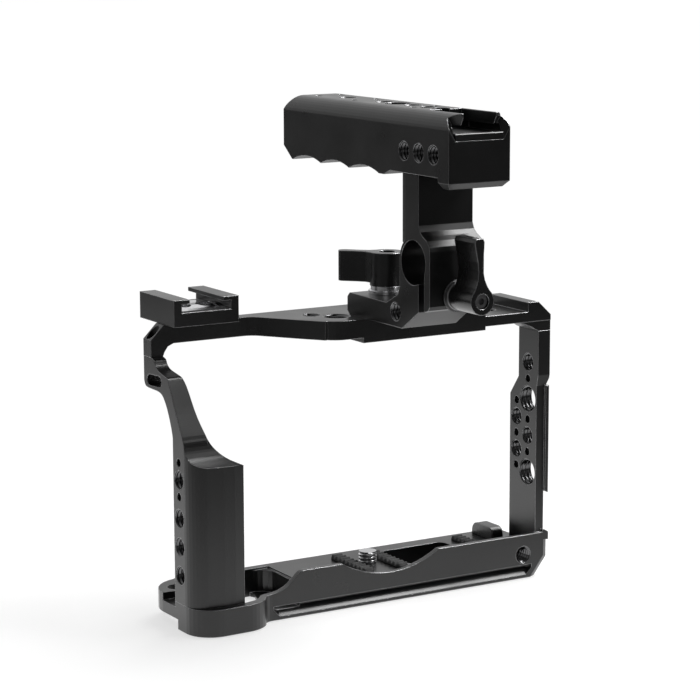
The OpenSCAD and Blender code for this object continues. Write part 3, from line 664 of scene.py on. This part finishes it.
def falling(nt, value, stops):
    """A grey level that follows (place, level) stops, places from 0 to 1."""
    node = add_node(nt, "ValToRGB", {0: value})
    levels = node.color_ramp.elements
    levels.remove(levels[1])
    levels[0].position, levels[0].color = stops[0][0], (stops[0][1],) * 3 + (1,)
    for place, level in stops[1:]:
        levels.new(place).color = (level, level, level, 1)
    return node.outputs[0]


def combined(nt, operation, a, b):
    """Two sockets put through one operation."""
    return add_node(nt, "Math", {0: a, 1: b}, operation=operation).outputs[0]


def glow(nt, level, ray):
    """White light of a level that only one kind of ray sees."""
    return add_node(nt, "Emission", {"Strength": combined(nt, "MULTIPLY", level, ray)}).outputs[0]


def add_light(nt, a, b):
    """Sum of two shaders."""
    return add_node(nt, "AddShader", {0: a, 1: b}).outputs[0]


table = bpy.data.materials.new("white_table")
table.use_nodes = True
nt = table.node_tree
nt.nodes.clear()
where = add_node(nt, "TexCoord", {}).outputs["Object"]
rays = add_node(nt, "LightPath", {}).outputs
far = distance_from(nt, where, (0, 0, 0))
# painted pool of light: how brightly the table glows for glossy and transmission rays
painted_pool = falling(nt, distance_from(nt, where, PAINTED_POOL_MIDDLE), PAINTED_POOL)
mirror_ray = combined(nt, "MAXIMUM", rays["Is Glossy Ray"], rays["Is Transmission Ray"])

# the matt colour is a painted pool of light; the lamps light it and the part shades it
matt_painted_pool = add_node(nt, "BsdfDiffuse", {"Color": spread(nt, far, NEAR, FAR, PAINTED_POOL_MATT_NEAR, PAINTED_POOL_MATT_FAR)})
seen = glow(nt, spread(nt, far, NEAR, FAR, OWN_NEAR, OWN_FAR), rays["Is Camera Ray"])
painted_pool_glow = glow(nt, painted_pool, mirror_ray)
add_node(nt, "OutputMaterial", {0: add_light(nt, add_light(nt, matt_painted_pool.outputs[0], seen), painted_pool_glow)})
floor_mesh.materials.append(table)
print("table nodes:", len(nt.nodes))

# %% [markdown]
# The world is white to the camera. For everything else it is a bright wall behind the part and to
# its right, which fades to a dark room in front, so the tops gleam and the front faces stay black.
# An even white world would light the front faces too.

# %% World
WALL_DIRECTION = (0.45, 0.86, 0.25)
WALL_FADE = (-0.35, 0.75)          # dot products between which the room turns from dark to bright
ROOM_DARK, ROOM_BRIGHT = 0.08, 0.75
world = bpy.data.worlds.new("studio")
bpy.context.scene.world = world
world.use_nodes = True
wt = world.node_tree
wt.nodes.clear()
direction = add_node(wt, "TexCoord", {}).outputs["Generated"]
facing = add_node(wt, "VectorMath", {0: direction, 1: WALL_DIRECTION}, operation="DOT_PRODUCT")
wall = spread(wt, facing.outputs["Value"], *WALL_FADE, ROOM_DARK, ROOM_BRIGHT)
is_camera = add_node(wt, "LightPath", {}).outputs["Is Camera Ray"]
strength = add_node(wt, "Mix", {"Factor": is_camera, "A": wall, "B": 1.0}).outputs["Result"]
background = add_node(wt, "Background", {"Color": (1, 1, 1, 1), "Strength": strength})
add_node(wt, "OutputWorld", {0: background.outputs[0]})
print("world: bright wall towards", WALL_DIRECTION)

# %% [markdown]
# ## Lamps
# Four square soft lamps stand where certain faces mirror them into the camera, because a black
# face shows little but what it mirrors. One lamp could not serve all the slopes. The soft box is
# for faces that lean about 44 degrees up, which are the milled chamfers. The front card is for
# those that lean 27 degrees up and the top light for 59 degrees. The left card is for faces turned
# 36 degrees to the left. The two cards are weak, and only for glints.

# %% Lamps
LAMP_AIM = Vector((0, 0, 0.10))
# place and size in metres, and power in watts
LAMPS = {"soft_box": ((0.72, -0.27, 1.22), 0.55, 14.0),
         "front_card": ((0.68, -0.86, 0.90), 0.50, 1.5),
         "top_light": ((0.86, 0.42, 1.30), 0.65, 8.0),
         "left_card": ((-0.80, -0.95, 0.40), 0.50, 0.35)}


def lamp(name, place, size, power):
    """A square soft lamp of a size in metres and a power in watts at a place, aimed at the part."""
    data = bpy.data.lights.new(name, "AREA")
    data.size = size
    data.energy = power
    made = bpy.data.objects.new(name, data)
    bpy.context.scene.collection.objects.link(made)
    made.location = place
    made.rotation_euler = (LAMP_AIM - Vector(place)).to_track_quat("-Z", "Y").to_euler()


for name, (place, size, power) in LAMPS.items():
    lamp(name, place, size, power)
print("lamps:", len(LAMPS))

# %% [markdown]
# ## Camera
# The place, turn and lens could be set by eye, but then no edge would line up. They come from
# matching the model's straight edges and hole centres to the photograph by least squares. The
# camera stands 31 degrees to the left and 10 degrees up.

# %% Camera
AZIMUTH, ELEVATION, ROLL = -30.925, 10.126, -0.1625   # degrees
CAMERA_PLACE = (-0.422925, -0.688546, 0.234126)
FOCAL_PX, PHOTO_PX = 2395.99, 700                      # focal length and width, in pixels
SENSOR = 36.0
azimuth, elevation, roll = np.radians([AZIMUTH, ELEVATION, ROLL])
back = np.array([np.sin(azimuth) * np.cos(elevation), -np.cos(azimuth) * np.cos(elevation),
                 np.sin(elevation)])
level = np.cross(-back, UP)
level /= np.linalg.norm(level)
upright = np.cross(back, level)
across = np.cos(roll) * level + np.sin(roll) * upright
upward = -np.sin(roll) * level + np.cos(roll) * upright
lens = bpy.data.cameras.new("camera")
lens.sensor_width = SENSOR
lens.lens = FOCAL_PX / PHOTO_PX * SENSOR
lens.clip_start, lens.clip_end = 0.01, 50.0
camera = bpy.data.objects.new("camera", lens)
bpy.context.scene.collection.objects.link(camera)
pose = np.eye(4)
pose[:3] = np.column_stack([across, upward, back, CAMERA_PLACE])
camera.matrix_world = Matrix(pose.tolist())
bpy.context.scene.camera = camera
bpy.context.scene.view_settings.view_transform = "Standard"
print("camera lens", round(lens.lens, 2), "mm")
